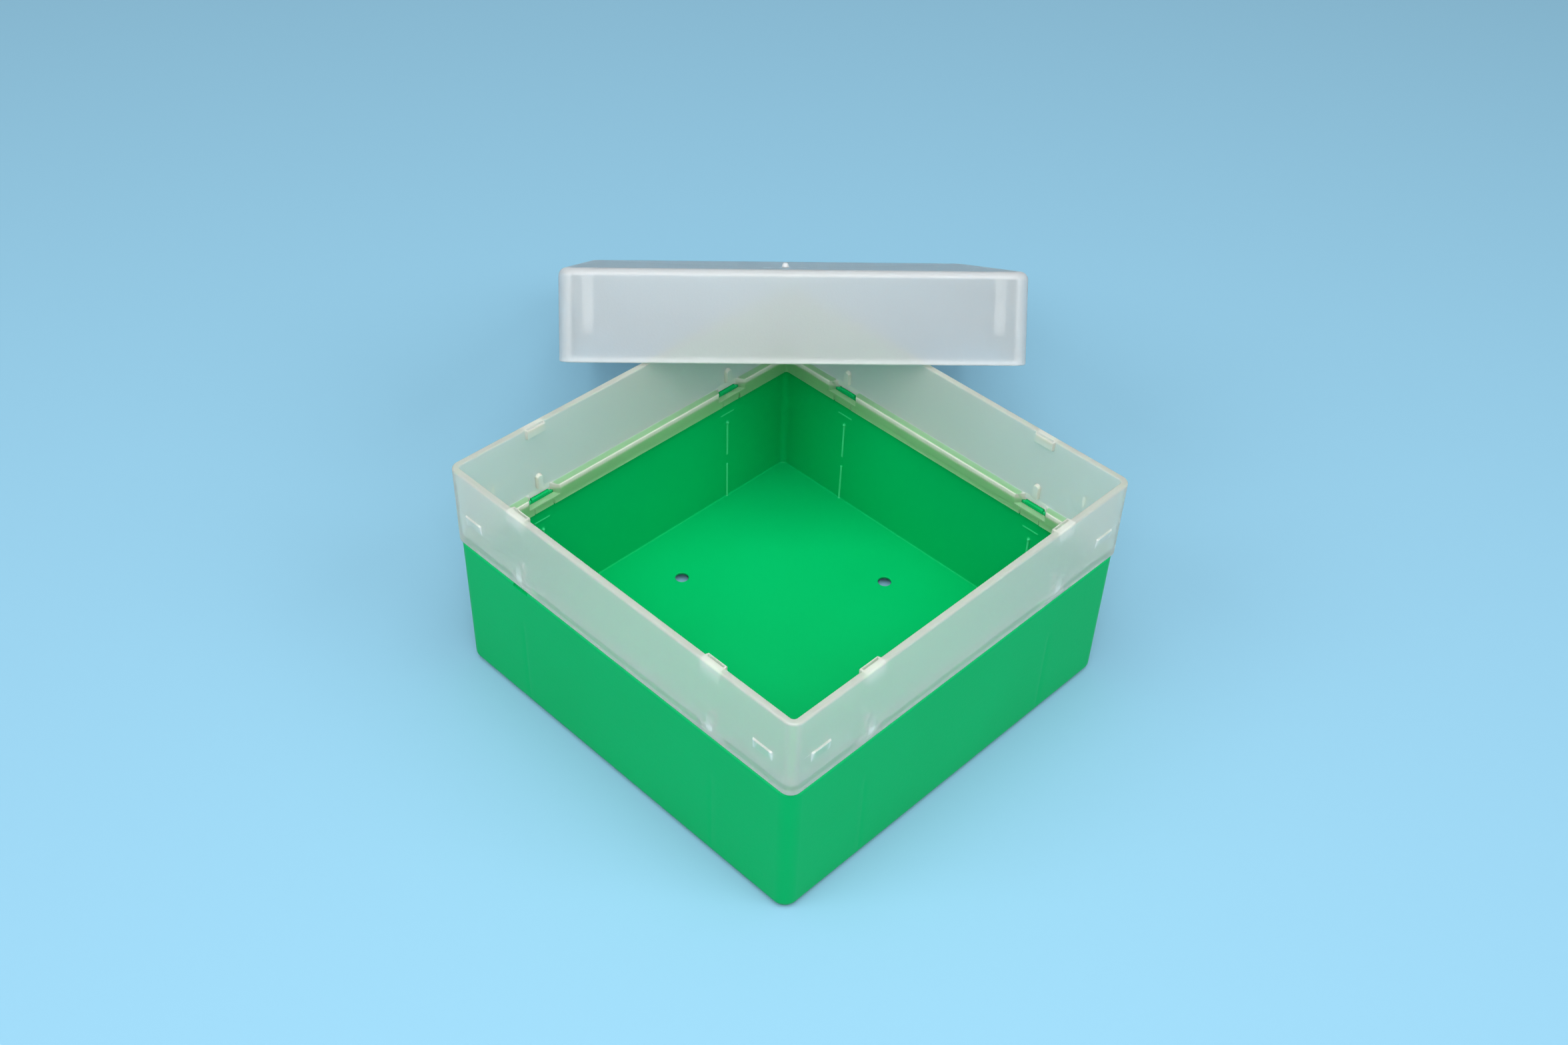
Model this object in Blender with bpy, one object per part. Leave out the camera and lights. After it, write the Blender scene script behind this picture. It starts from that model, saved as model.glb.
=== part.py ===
"""Cryogenic storage box: a deep tray, a translucent collar that clips onto it, and a loose lid.

Metres, +Z up. The origin is the centre of the tray's underside, and the box's sides are parallel
to X and Y. The lid is off the box: it leans over the corner at -X +Y, with the inner edge of its
front wall on the collar's rim and its rear edge on the surface that the box stands on.
"""

import math

import bmesh
import bpy
from mathutils import Matrix, Vector

# Clearances between pieces that touch or slide
TOUCH_GAP = 0.0003
SLIDE_GAP = 0.0004

# Collar
COLLAR_SIDE = 0.1276
COLLAR_WALL = 0.0020
COLLAR_HEIGHT = 0.0246
COLLAR_CORNER = 0.0032
RIM_ROUND = 0.0006
FLANGE_THICK = 0.0022
SKIRT_WALL = 0.0017
SKIRT_DROP = 0.0040
SKIRT_STEP = 0.00015

# Tray
TRAY_HEIGHT = 0.0441
TRAY_INSET = 0.0002
TRAY_WALL = 0.0020
TRAY_CORNER = 0.0042
TRAY_DRAFT = 0.0003
TRAY_FLOOR = 0.0030
TRAY_EDGE = 0.0024
FLOOR_FILLET = 0.0008
SHOULDER_ROUND = 0.0012
HOLE_RADIUS = 0.0020
HOLE_LIP = 0.0007
HOLE_RELIEF = 0.0028
HOLE_REACH = 0.0430
NOTCH_WIDTH = 0.0060
NOTCH_DEPTH = 0.0006
NOTCH_HEIGHT = 0.0016

# Ribs inside the tray, one at each latch, in two lengths with a break between them
RIB_WIDTH = 0.0007
RIB_PROUD = 0.0004
RIB_TOP = 0.0323
RIB_BREAK_TOP = 0.0196
RIB_BREAK_FOOT = 0.0160
DASH_WIDTH = 0.0055
DASH_HEIGHT = 0.0003
DASH_PROUD = 0.0002
DASH_REACH_UP = 0.0353

# Latches: two on each wall
LATCH_REACH = 0.0361
LATCH_WIDTH = 0.0068
LATCH_THICK = 0.0013
LATCH_HEIGHT = 0.0020
WINDOW_RISE = 0.0006
POCKET_SIDE = 0.0003
POCKET_FLARE = 0.0019
SILL_DROP = 0.0008
SILL_SLOPE = 0.0003
SLIT_WIDTH = 0.0004
SLIT_HEIGHT = 0.0021
TONGUE_INSET = 0.0003

# Pads, lugs and bumps on the collar's wall
PAD_WIDTH = 0.0064
PAD_HEIGHT = 0.0030
PAD_PROUD = 0.0009
PAD_SLOT_WIDTH = 0.0054
PAD_SLOT_THICK = 0.0006
PAD_SLOT_DEPTH = 0.0012
LUG_WIDTH = 0.0020
LUG_HEIGHT = 0.0046
LUG_PROUD = 0.0012
LUG_RISE = 0.0010
BUMP_CORNER_REACH = 0.0096
BUMP_WIDTH = 0.0063
BUMP_HEIGHT = 0.0030
BUMP_PROUD = 0.00045
BUMP_RISE = 0.0011

# Lid
LID_CLEARANCE = 0.0012
LID_WALL = 0.0015
LID_TOP = 0.0018
LID_HEIGHT = 0.0265
LID_CORNER = 0.0050
LID_EDGE = 0.0025
LID_RIB_CORNER_REACH = 0.0085
LID_RIB_WIDTH = 0.0023
LID_STOP_LENGTH = 0.0094
LID_GUIDE_LENGTH = 0.0182
NUB_RADIUS = 0.0012
NUB_TIP_RADIUS = 0.0007
NUB_HEIGHT = 0.0008

# How the lid leans: how far the collar's corner, along the diagonal, stops short of meeting the
# lid's ceiling, the lid's sideways offset from that diagonal, and its turn out of square with it
LEAN_CLEARANCE = 0.00397
LEAN_OFFSET = 0.0011
LEAN_TURN = math.radians(1.5)

CORNER_STEPS = 6
EDGE_STEPS = 4
HOLE_STEPS = 24
SMALLEST_CORNER = 0.0010
OVERLAP = 0.0004

COLLAR_FOOT = TRAY_HEIGHT + TOUCH_GAP
RIM_HEIGHT = COLLAR_FOOT + COLLAR_HEIGHT
FLANGE_TOP = COLLAR_FOOT + FLANGE_THICK
SKIRT_FOOT = COLLAR_FOOT - SKIRT_DROP
COLLAR_OUTER = COLLAR_SIDE / 2
COLLAR_INNER = COLLAR_OUTER - COLLAR_WALL
TRAY_OUTER = COLLAR_OUTER - TRAY_INSET
TRAY_INNER = TRAY_OUTER - TRAY_WALL
SKIRT_OUTER = TRAY_INNER - SLIDE_GAP
SKIRT_INNER = SKIRT_OUTER - SKIRT_WALL
LATCH_FACE = SKIRT_OUTER + TOUCH_GAP / 2
POCKET_BACK = COLLAR_INNER + OVERLAP / 4
LID_SIDE = COLLAR_SIDE + 2 * (LID_CLEARANCE + LID_WALL)


def clear_scene():
    for obj in list(bpy.data.objects):
        bpy.data.objects.remove(obj, do_unlink=True)


def plastic(name, colour, roughness, alpha=1.0):
    """A moulded plastic, as a Principled BSDF."""
    material = bpy.data.materials.new(name)
    material.use_nodes = True
    shader = material.node_tree.nodes["Principled BSDF"]
    shader.inputs["Base Color"].default_value = (*colour, 1.0)
    shader.inputs["Roughness"].default_value = roughness
    shader.inputs["Metallic"].default_value = 0.0
    shader.inputs["Alpha"].default_value = alpha
    material.diffuse_color = (*colour, alpha)
    return material


def object_from(name, bm, material=None):
    """An object in the scene that holds the bmesh, with its round surfaces shaded smooth."""
    mesh = bpy.data.meshes.new(name)
    bm.to_mesh(mesh)
    bm.free()
    mesh.shade_smooth()
    mesh.set_sharp_from_angle(angle=math.radians(35))
    obj = bpy.data.objects.new(name, mesh)
    bpy.context.scene.collection.objects.link(obj)
    if material:
        obj.data.materials.append(material)
    return obj


def helper_from(name, bm):
    """A solid that only a Boolean reads."""
    obj = object_from(name, bm)
    obj.hide_render = True
    obj.display_type = "WIRE"
    return obj


def boolean(obj, operation, other):
    other.parent = obj
    modifier = obj.modifiers.new(f"{operation.lower()} {other.name}", "BOOLEAN")
    modifier.operation = operation
    modifier.object = other


def square_ring(bm, half, corner, height):
    """A ring of vertices round a square with rounded corners, counted from +X -Y anticlockwise."""
    corner = max(corner, SMALLEST_CORNER)
    ring = []
    for quarter in range(4):
        start = math.radians(-90 + 90 * quarter)
        middle = start + math.radians(45)
        reach = (half - corner) * math.sqrt(2)
        centre = Vector((reach * math.cos(middle), reach * math.sin(middle), height))
        for step in range(CORNER_STEPS + 1):
            angle = start + math.radians(90) * step / CORNER_STEPS
            out = Vector((corner * math.cos(angle), corner * math.sin(angle), 0.0))
            ring.append(bm.verts.new(centre + out))
    return ring


def bridge(bm, ring, following):
    count = len(ring)
    for i in range(count):
        j = (i + 1) % count
        bm.faces.new((ring[i], ring[j], following[j], following[i]))


def loft(section, closed):
    """A solid from a section of (half side, corner radius, height) carried round the square.

    An open section is capped at both ends, and a closed one makes a frame. The section runs
    up the outer side.
    """
    bm = bmesh.new()
    rings = [square_ring(bm, *point) for point in section]
    for ring, following in zip(rings, rings[1:]):
        bridge(bm, ring, following)
    if closed:
        bridge(bm, rings[-1], rings[0])
    else:
        bm.faces.new(reversed(rings[0]))
        bm.faces.new(rings[-1])
    bmesh.ops.recalc_face_normals(bm, faces=bm.faces)
    return bm


def quarter_round(half, corner, height, radius, first, last):
    """Section points on a rounded edge, between two angles in degrees, 0 outwards and 90 up."""
    points = []
    for step in range(EDGE_STEPS + 1):
        angle = math.radians(first + (last - first) * step / EDGE_STEPS)
        shift = radius * math.cos(angle) - radius
        points.append((half + shift, corner + shift, height + radius * math.sin(angle)))
    return points


def fillet(half, corner, floor, radius):
    """Section points down an inner wall and round into the floor."""
    points = []
    for step in range(EDGE_STEPS + 1):
        angle = math.radians(90) * step / EDGE_STEPS
        inward = radius * (1 - math.cos(angle))
        height = floor + radius * (1 - math.sin(angle))
        points.append((half - inward, corner - inward, height))
    return points


def close_prism(bm, near, far):
    """The faces of a prism between two ends, given as matching lists of vertices."""
    faces = [bm.faces.new(near), bm.faces.new(list(reversed(far)))]
    count = len(near)
    for i in range(count):
        j = (i + 1) % count
        faces.append(bm.faces.new((near[i], far[i], far[j], near[j])))
    bmesh.ops.recalc_face_normals(bm, faces=faces)


def add_prism(bm, outline, axis, low, high, place):
    """A closed prism: an outline in the plane across an axis, swept along that axis."""
    ends = []
    for reach in (low, high):
        if axis == "along":
            spots = [(reach, out, up) for out, up in outline]
        elif axis == "out":
            spots = [(along, reach, up) for along, up in outline]
        else:
            spots = [(along, out, reach) for along, out in outline]
        ends.append([bm.verts.new(place @ Vector(spot)) for spot in spots])
    close_prism(bm, *ends)


def add_block(bm, along, out, up, place):
    """A box from its spans along the wall, outwards from the centre, and up."""
    outline = [(out[0], up[0]), (out[1], up[0]), (out[1], up[1]), (out[0], up[1])]
    add_prism(bm, outline, "along", along[0], along[1], place)


def wall_places(reach):
    """Places along each of the four walls, at this reach on both sides of its middle.

    In each place, X runs along the wall, Y outwards from the box's centre and Z up.
    """
    places = []
    for quarter in range(4):
        turn = Matrix.Rotation(math.radians(90 * quarter), 4, "Z")
        for side in (-1, 1):
            places.append(turn @ Matrix.Translation((side * reach, 0.0, 0.0)))
    return places


def centred(width):
    return (-width / 2, width / 2)


def make_tray(material):
    """The deep tray, with its ribs, latch tabs, drain holes and the one thumb notch."""
    foot = TRAY_OUTER - TRAY_DRAFT
    corner_inner = TRAY_CORNER - TRAY_WALL
    section = [(foot - TRAY_EDGE, TRAY_CORNER - TRAY_EDGE, 0.0)]
    section += quarter_round(foot, TRAY_CORNER, TRAY_EDGE, TRAY_EDGE, -72, 0)
    section += quarter_round(
        TRAY_OUTER, TRAY_CORNER, TRAY_HEIGHT - SHOULDER_ROUND, SHOULDER_ROUND, 0, 90
    )
    section.append((TRAY_INNER, corner_inner, TRAY_HEIGHT))
    section += fillet(TRAY_INNER - TRAY_DRAFT, corner_inner, TRAY_FLOOR, FLOOR_FILLET)
    tray = object_from("base_tray", loft(section, closed=False), material)
    boolean(tray, "UNION", helper_from("tray_tabs_and_ribs", tabs_and_ribs()))
    boolean(tray, "DIFFERENCE", helper_from("drain_hole_cutters", drain_holes()))
    boolean(tray, "DIFFERENCE", helper_from("thumb_notch_cutter", thumb_notch()))
    return tray


def tabs_and_ribs():
    """At each latch, the tab on the tray's rim, the dash under it and the broken rib below."""
    bm = bmesh.new()
    tab = centred(LATCH_WIDTH - 2 * TOUCH_GAP)
    tab_top = COLLAR_FOOT + WINDOW_RISE - TOUCH_GAP
    face = TRAY_INNER - TRAY_DRAFT
    wall = TRAY_INNER + OVERLAP
    for place in wall_places(LATCH_REACH):
        tab_depth = (LATCH_FACE, LATCH_FACE + LATCH_THICK)
        add_block(bm, tab, tab_depth, (tab_top - LATCH_HEIGHT, tab_top), place)
        dash_span = (DASH_REACH_UP, DASH_REACH_UP + DASH_HEIGHT)
        add_block(bm, centred(DASH_WIDTH), (face - DASH_PROUD, wall), dash_span, place)
        for span in ((TRAY_FLOOR - OVERLAP, RIB_BREAK_FOOT), (RIB_BREAK_TOP, RIB_TOP)):
            add_block(bm, centred(RIB_WIDTH), (face - RIB_PROUD, wall), span, place)
    return bm


def drain_holes():
    """A round hole through the floor near the middle of each wall, relieved from below."""
    bm = bmesh.new()
    profile = [
        (HOLE_RADIUS + HOLE_RELIEF + OVERLAP, -OVERLAP),
        (HOLE_RADIUS, TRAY_FLOOR - HOLE_LIP),
        (HOLE_RADIUS, TRAY_FLOOR + OVERLAP),
    ]
    for quarter in range(4):
        turn = Matrix.Rotation(math.radians(90 * quarter), 4, "Z")
        add_turned(bm, profile, turn @ Matrix.Translation((HOLE_REACH, 0.0, 0.0)))
    return bm


def add_turned(bm, profile, place):
    """A closed round solid from (radius, height) points, from its foot to its top."""
    rings = []
    for radius, height in profile:
        ring = []
        for step in range(HOLE_STEPS):
            angle = math.tau * step / HOLE_STEPS
            spot = Vector((radius * math.cos(angle), radius * math.sin(angle), height))
            ring.append(bm.verts.new(place @ spot))
        rings.append(ring)
    for ring, following in zip(rings, rings[1:]):
        bridge(bm, ring, following)
    bm.faces.new(reversed(rings[0]))
    bm.faces.new(rings[-1])


def thumb_notch():
    """A shallow nick in the shoulder under one latch of the wall at -Y."""
    bm = bmesh.new()
    turn = Matrix.Rotation(math.radians(180), 4, "Z")
    place = turn @ Matrix.Translation((LATCH_REACH, 0.0, 0.0))
    top = TRAY_HEIGHT + OVERLAP
    add_block(
        bm,
        centred(NOTCH_WIDTH),
        (TRAY_OUTER - NOTCH_DEPTH, TRAY_OUTER + OVERLAP),
        (top - NOTCH_HEIGHT, top),
        place,
    )
    return bm


def make_collar(material):
    """The collar: a wall, a flange that sits on the tray's rim and a skirt inside the tray."""
    def wall(half, height):
        return (half, COLLAR_CORNER - (COLLAR_OUTER - half), height)

    def skirt(half, height):
        return (half, TRAY_CORNER - (TRAY_OUTER - half), height)

    section = [
        wall(COLLAR_OUTER - RIM_ROUND, COLLAR_FOOT),
        wall(COLLAR_OUTER, COLLAR_FOOT + RIM_ROUND),
    ]
    section += quarter_round(
        COLLAR_OUTER, COLLAR_CORNER, RIM_HEIGHT - RIM_ROUND, RIM_ROUND, 0, 90
    )
    section += [
        wall(COLLAR_INNER + RIM_ROUND / 2, RIM_HEIGHT),
        wall(COLLAR_INNER, RIM_HEIGHT - RIM_ROUND / 2),
        wall(COLLAR_INNER, FLANGE_TOP),
        skirt(SKIRT_INNER, FLANGE_TOP),
        skirt(SKIRT_INNER, SKIRT_FOOT + SLIT_HEIGHT),
        skirt(SKIRT_INNER + SKIRT_STEP, SKIRT_FOOT + SLIT_HEIGHT - SKIRT_STEP),
        skirt(SKIRT_INNER + SKIRT_STEP, SKIRT_FOOT),
        skirt(SKIRT_OUTER - RIM_ROUND, SKIRT_FOOT),
        skirt(SKIRT_OUTER, SKIRT_FOOT + RIM_ROUND),
        skirt(SKIRT_OUTER, COLLAR_FOOT),
    ]
    collar = object_from("collar_frame", loft(section, closed=True), material)
    boolean(collar, "UNION", helper_from("collar_pads_and_lugs", pads_and_lugs()))
    boolean(collar, "UNION", helper_from("collar_grip_bumps", grip_bumps()))
    boolean(collar, "DIFFERENCE", helper_from("latch_pocket_cutters", latch_pockets()))
    boolean(collar, "DIFFERENCE", helper_from("latch_window_and_slit_cutters", latch_windows()))
    boolean(collar, "DIFFERENCE", helper_from("pad_slot_cutters", pad_slots()))
    return collar


def pads_and_lugs():
    """Over each latch, a pad inside the rim and a round-headed lug low on the wall."""
    bm = bmesh.new()
    wall = COLLAR_INNER + RIM_ROUND + OVERLAP
    radius = LUG_WIDTH / 2
    foot = FLANGE_TOP + LUG_RISE
    spring = foot + LUG_HEIGHT - radius
    lug = [(-radius, foot), (radius, foot)]
    for step in range(2 * EDGE_STEPS + 1):
        angle = math.pi * step / (2 * EDGE_STEPS)
        lug.append((radius * math.cos(angle), spring + radius * math.sin(angle)))
    for place in wall_places(LATCH_REACH):
        pad_span = (RIM_HEIGHT - PAD_HEIGHT, RIM_HEIGHT)
        add_block(bm, centred(PAD_WIDTH), (COLLAR_INNER - PAD_PROUD, wall), pad_span, place)
        add_prism(bm, lug, "out", COLLAR_INNER - LUG_PROUD, COLLAR_INNER + OVERLAP, place)
    return bm


def grip_bumps():
    """Wedges outside the wall near the corners, which grip inside the closed lid's edge."""
    bm = bmesh.new()
    foot = RIM_HEIGHT - (LID_HEIGHT - LID_STOP_LENGTH) + BUMP_RISE
    top = foot + BUMP_HEIGHT
    run = BUMP_HEIGHT * OVERLAP / BUMP_PROUD
    wedge = [
        (COLLAR_OUTER - OVERLAP, foot - run),
        (COLLAR_OUTER + BUMP_PROUD, top),
        (COLLAR_OUTER - OVERLAP, top),
    ]
    low, high = centred(BUMP_WIDTH)
    for place in wall_places(COLLAR_OUTER - BUMP_CORNER_REACH):
        add_prism(bm, wedge, "along", low, high, place)
    return bm


def latch_pockets():
    """A pocket in the flange's inner edge at each latch, with flared ends and a sloping sill."""
    bm = bmesh.new()
    front = SKIRT_INNER - OVERLAP
    depth = POCKET_BACK - front
    sill = COLLAR_FOOT - SILL_DROP
    profile = [
        (front, sill - SILL_SLOPE),
        (POCKET_BACK, sill),
        (POCKET_BACK, FLANGE_TOP + OVERLAP / 4),
        (front, FLANGE_TOP + OVERLAP / 4),
    ]
    for place in wall_places(LATCH_REACH):
        ends = []
        for side in (-1, 1):
            end = []
            for out, up in profile:
                spread = POCKET_FLARE * (POCKET_BACK - out) / depth
                along = side * (LATCH_WIDTH / 2 + POCKET_SIDE + spread)
                end.append(bm.verts.new(place @ Vector((along, out, up))))
            ends.append(end)
        close_prism(bm, *ends)
    return bm


def latch_windows():
    """At each latch, the window for the tray's tab and the slits beside the skirt's tongue."""
    bm = bmesh.new()
    tab_back = LATCH_FACE + LATCH_THICK + TOUCH_GAP
    half = (LATCH_WIDTH + SLIT_WIDTH) / 2
    front = SKIRT_INNER - OVERLAP
    back = SKIRT_OUTER + OVERLAP / 2
    tongue = SKIRT_INNER + TONGUE_INSET
    slits = [
        (-half, front),
        (half, front),
        (half, back),
        (half - SLIT_WIDTH, back),
        (half - SLIT_WIDTH, tongue),
        (SLIT_WIDTH - half, tongue),
        (SLIT_WIDTH - half, back),
        (-half, back),
    ]
    window = (COLLAR_FOOT - OVERLAP, COLLAR_FOOT + WINDOW_RISE)
    for place in wall_places(LATCH_REACH):
        add_block(bm, centred(LATCH_WIDTH), (SKIRT_OUTER + OVERLAP / 2, tab_back), window, place)
        add_prism(bm, slits, "up", SKIRT_FOOT - OVERLAP, SKIRT_FOOT + SLIT_HEIGHT, place)
    return bm


def pad_slots():
    """The narrow slot in the top of each pad."""
    bm = bmesh.new()
    back = COLLAR_INNER + PAD_SLOT_THICK / 3
    span = (RIM_HEIGHT - PAD_SLOT_DEPTH, RIM_HEIGHT + OVERLAP)
    for place in wall_places(LATCH_REACH):
        add_block(bm, centred(PAD_SLOT_WIDTH), (back - PAD_SLOT_THICK, back), span, place)
    return bm


def make_lid(material):
    """The lid, open side down on its own X Y plane, centred on its own Z axis."""
    outer = LID_SIDE / 2
    inner = outer - LID_WALL
    corner_inner = LID_CORNER - LID_WALL
    section = [
        (inner, corner_inner, LID_HEIGHT - LID_TOP),
        (inner, corner_inner, 0.0),
        (outer, LID_CORNER, 0.0),
    ]
    section += quarter_round(outer, LID_CORNER, LID_HEIGHT - LID_EDGE, LID_EDGE, 0, 90)
    lid = object_from("lid", loft(section, closed=False), material)
    boolean(lid, "UNION", helper_from("lid_ribs_and_nub", lid_ribs_and_nub()))
    return lid


def lid_ribs_and_nub():
    """Stepped ribs near the corners, whose steps stop on the collar's rim, and the gate nub."""
    bm = bmesh.new()
    wall = LID_SIDE / 2 - LID_WALL
    guide_face = COLLAR_OUTER + TOUCH_GAP
    stop_face = COLLAR_INNER + COLLAR_WALL / 4
    ceiling = LID_HEIGHT - LID_TOP + OVERLAP
    for place in wall_places(LID_SIDE / 2 - LID_RIB_CORNER_REACH):
        profile = [
            (wall + OVERLAP, ceiling),
            (wall + OVERLAP, LID_HEIGHT - LID_GUIDE_LENGTH),
            (guide_face, LID_HEIGHT - LID_GUIDE_LENGTH),
            (guide_face, LID_HEIGHT - LID_STOP_LENGTH),
            (stop_face, LID_HEIGHT - LID_STOP_LENGTH),
            (stop_face, ceiling),
        ]
        low, high = centred(LID_RIB_WIDTH)
        add_prism(bm, profile, "along", low, high, place)
    depth = NUB_HEIGHT + OVERLAP
    bmesh.ops.create_cone(
        bm,
        cap_ends=True,
        segments=16,
        radius1=NUB_RADIUS,
        radius2=NUB_TIP_RADIUS,
        depth=depth,
        matrix=Matrix.Translation((0.0, 0.0, LID_HEIGHT - OVERLAP + depth / 2)),
    )
    return bm


def lean_of_lid():
    """The lid's place: rear lower edge on the ground, inner front edge just over the rim."""
    tilt = math.asin((RIM_HEIGHT + TOUCH_GAP) / (LID_SIDE - LID_WALL))
    heading = math.radians(45) + LEAN_TURN
    back = Vector((-math.sin(heading), math.cos(heading), 0.0))
    side = Vector((math.cos(heading), math.sin(heading), 0.0))
    diagonal = Vector((-1.0, 1.0, 0.0)).normalized()
    across = Vector((1.0, 1.0, 0.0)).normalized()
    collar_corner = COLLAR_OUTER * math.sqrt(2)
    reach = (LID_HEIGHT - LID_TOP) / math.sin(tilt) - LEAN_CLEARANCE
    front = diagonal * (collar_corner - reach) + across * LEAN_OFFSET
    front.z = LID_SIDE * math.sin(tilt)
    along = back * math.cos(tilt) - Vector((0.0, 0.0, math.sin(tilt)))
    up = side.cross(along)
    centre = front + along * LID_SIDE / 2
    turn = Matrix((side, along, up)).transposed().to_4x4()
    return Matrix.Translation(centre) @ turn


def main():
    clear_scene()
    green = plastic("green_polypropylene", (0.0, 0.42, 0.14), 0.38)
    frosted = plastic("natural_polypropylene", (0.62, 0.74, 0.70), 0.35, 0.5)
    clear = plastic("frosted_polypropylene", (0.66, 0.74, 0.76), 0.45, 0.6)

    tray = make_tray(green)
    collar = make_collar(frosted)
    collar.parent = tray

    lid = make_lid(clear)
    seat = bpy.data.objects.new("lid_seat", None)
    bpy.context.scene.collection.objects.link(seat)
    seat.parent = collar
    seat.matrix_local = lean_of_lid()
    lid.parent = seat


main()
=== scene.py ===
"""Looks for a cryogenic storage box: a green tray, a frosted clip-on collar and a leaning lid.

The script is in metres with +Z up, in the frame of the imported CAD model. Shapes are worked out in
millimetres and turned to metres as they go into a mesh.
"""

import math

import bmesh
import bpy
import numpy as np
from mathutils import Matrix, Vector


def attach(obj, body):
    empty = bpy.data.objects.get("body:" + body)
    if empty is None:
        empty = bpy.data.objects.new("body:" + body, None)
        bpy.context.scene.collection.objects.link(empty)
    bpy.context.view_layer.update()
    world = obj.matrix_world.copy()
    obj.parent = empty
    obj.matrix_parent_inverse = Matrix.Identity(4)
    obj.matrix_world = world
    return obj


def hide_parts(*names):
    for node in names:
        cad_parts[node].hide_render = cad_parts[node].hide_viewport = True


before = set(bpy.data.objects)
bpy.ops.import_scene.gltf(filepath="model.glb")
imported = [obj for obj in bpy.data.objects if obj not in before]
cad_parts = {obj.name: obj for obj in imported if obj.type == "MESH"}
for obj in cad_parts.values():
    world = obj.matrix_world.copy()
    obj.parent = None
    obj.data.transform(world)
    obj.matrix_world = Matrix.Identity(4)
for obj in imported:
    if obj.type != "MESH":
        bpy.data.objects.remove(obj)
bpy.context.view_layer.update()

# ---------------------------------------------------------------------------------------------
# The tray: one deep square tub, injection-moulded in opaque green polypropylene. It has a rounded
# shoulder that the collar stands on, four drain holes in its floor, and at each latch a small tab
# on the rim with a witness dash and a broken rib below it on the inner wall.

MM = 0.001

TRAY_OUTER, TRAY_INNER, TRAY_CORNER = 63.6, 61.6, 4.2
TRAY_HEIGHT, TRAY_FLOOR, TRAY_DRAFT = 44.1, 3.0, 0.3
FOOT_ROUND, SHOULDER_ROUND, LIP_ROUND, FLOOR_FILLET = 2.4, 1.2, 0.3, 0.5
LATCH_REACH = 36.1
HOLE_REACH, HOLE_RADIUS, HOLE_LIP, HOLE_RELIEF = 43.0, 2.0, 0.75, 4.8
RIB_HALF_WIDTH, RIB_PROUD, RIB_TOP = 0.42, 0.4, 32.2
RIB_BREAK_FOOT, RIB_BREAK_TOP = 16.0, 19.6
DASH_HALF, DASH_FOOT, DASH_TOP, DASH_PROUD = 2.75, 35.25, 35.65, 0.22
SMALLEST_CORNER = 0.8
CORNER_COLUMNS = 15


def smooth(x, low, high):
    """0 below low and 1 above high, with 3t^2 - 2t^3 between them."""
    t = np.clip((x - low) / (high - low), 0.0, 1.0)
    return t * t * (3.0 - 2.0 * t)


def band(x, low, high, soft):
    """1 between low and high and 0 outside, each edge softened over a width of soft."""
    rise = smooth(x, low - soft / 2, low + soft / 2)
    return rise * (1.0 - smooth(x, high - soft / 2, high + soft / 2))


def arc(half, height, radius, first, last, steps):
    """Profile points half + radius cos a, height + radius sin a, for a from first to last."""
    a = np.radians(np.linspace(first, last, steps + 1))
    return np.column_stack((half + radius * np.cos(a), height + radius * np.sin(a)))


def climb(heights, low, high):
    """Profile points on the straight line from low to high, at these heights."""
    share = (heights - low[1]) / (high[1] - low[1])
    return np.column_stack((low[0] + (high[0] - low[0]) * share, heights))


def both_ways(offsets, middle):
    """Positions along a wall: each offset either way from the middle, on both halves of it."""
    one_side = middle + np.concatenate((-offsets, offsets))
    return np.unique(np.round(np.concatenate((-one_side, one_side, [0.0])), 4))


def round_square(rows, places, push):
    """Points of a profile carried round a square with rounded corners, rows by columns by 3.

    A row is (h, r, z, s): half side, corner radius, height and squeeze. On a wall the point at
    place w is (h + push) out + s w along. On a corner it is (h - r)(out + along) + r (cos a out +
    sin a along), for a from 0 to 90 degrees.
    """
    h, r, z, s = (rows[:, i][:, None, None, None] for i in range(4))
    turn = np.radians(np.arange(4) * 90.0 - 90.0)
    out = np.column_stack((np.cos(turn), np.sin(turn)))[None, :, None, :]
    along = np.column_stack((-np.sin(turn), np.cos(turn)))[None, :, None, :]
    w = places[None, None, :, None]
    a = np.radians(np.linspace(0.0, 90.0, CORNER_COLUMNS))[None, None, :, None]
    walls = (h + push[:, None, :, None]) * out + s * w * along
    corners = (h - r) * (out + along) + r * (np.cos(a) * out + np.sin(a) * along)
    flat = np.concatenate((walls, corners), axis=2).reshape(len(rows), -1, 2)
    heights = np.broadcast_to(rows[:, 2][:, None, None], (*flat.shape[:2], 1))
    return np.concatenate((flat, heights), axis=2)


def skin(points, closed):
    """Quads between neighbouring rows and columns, the columns joined round. An open profile gets
    a flat cap at each end, and a closed one is joined up from its last row to its first."""
    rows, columns = points.shape[:2]
    i = np.arange(rows if closed else rows - 1)[:, None]
    j = np.arange(columns)[None, :]
    up, on = (i + 1) % rows, (j + 1) % columns
    quads = np.stack((i * columns + j, i * columns + on, up * columns + on, up * columns + j), -1)
    faces = quads.reshape(-1, 4).tolist()
    if not closed:
        ring = np.arange(columns)
        faces += [ring[::-1].tolist(), (ring + (rows - 1) * columns).tolist()]
    return faces


def new_piece(name, points, faces):
    """An object at the origin whose mesh holds these points, given in millimetres."""
    mesh = bpy.data.meshes.new(name)
    mesh.from_pydata((np.reshape(points, (-1, 3)) * MM).tolist(), [], faces)
    piece = bpy.data.objects.new(name, mesh)
    bpy.context.scene.collection.objects.link(piece)
    return piece


def with_corner(points, half, corner):
    """Rows from profile points: the corner radius is corner + h - half, so walls stay even."""
    radius = np.maximum(corner + points[:, 0] - half, SMALLEST_CORNER)
    return np.column_stack((points[:, 0], radius, points[:, 1], np.ones(len(points))))


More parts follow.
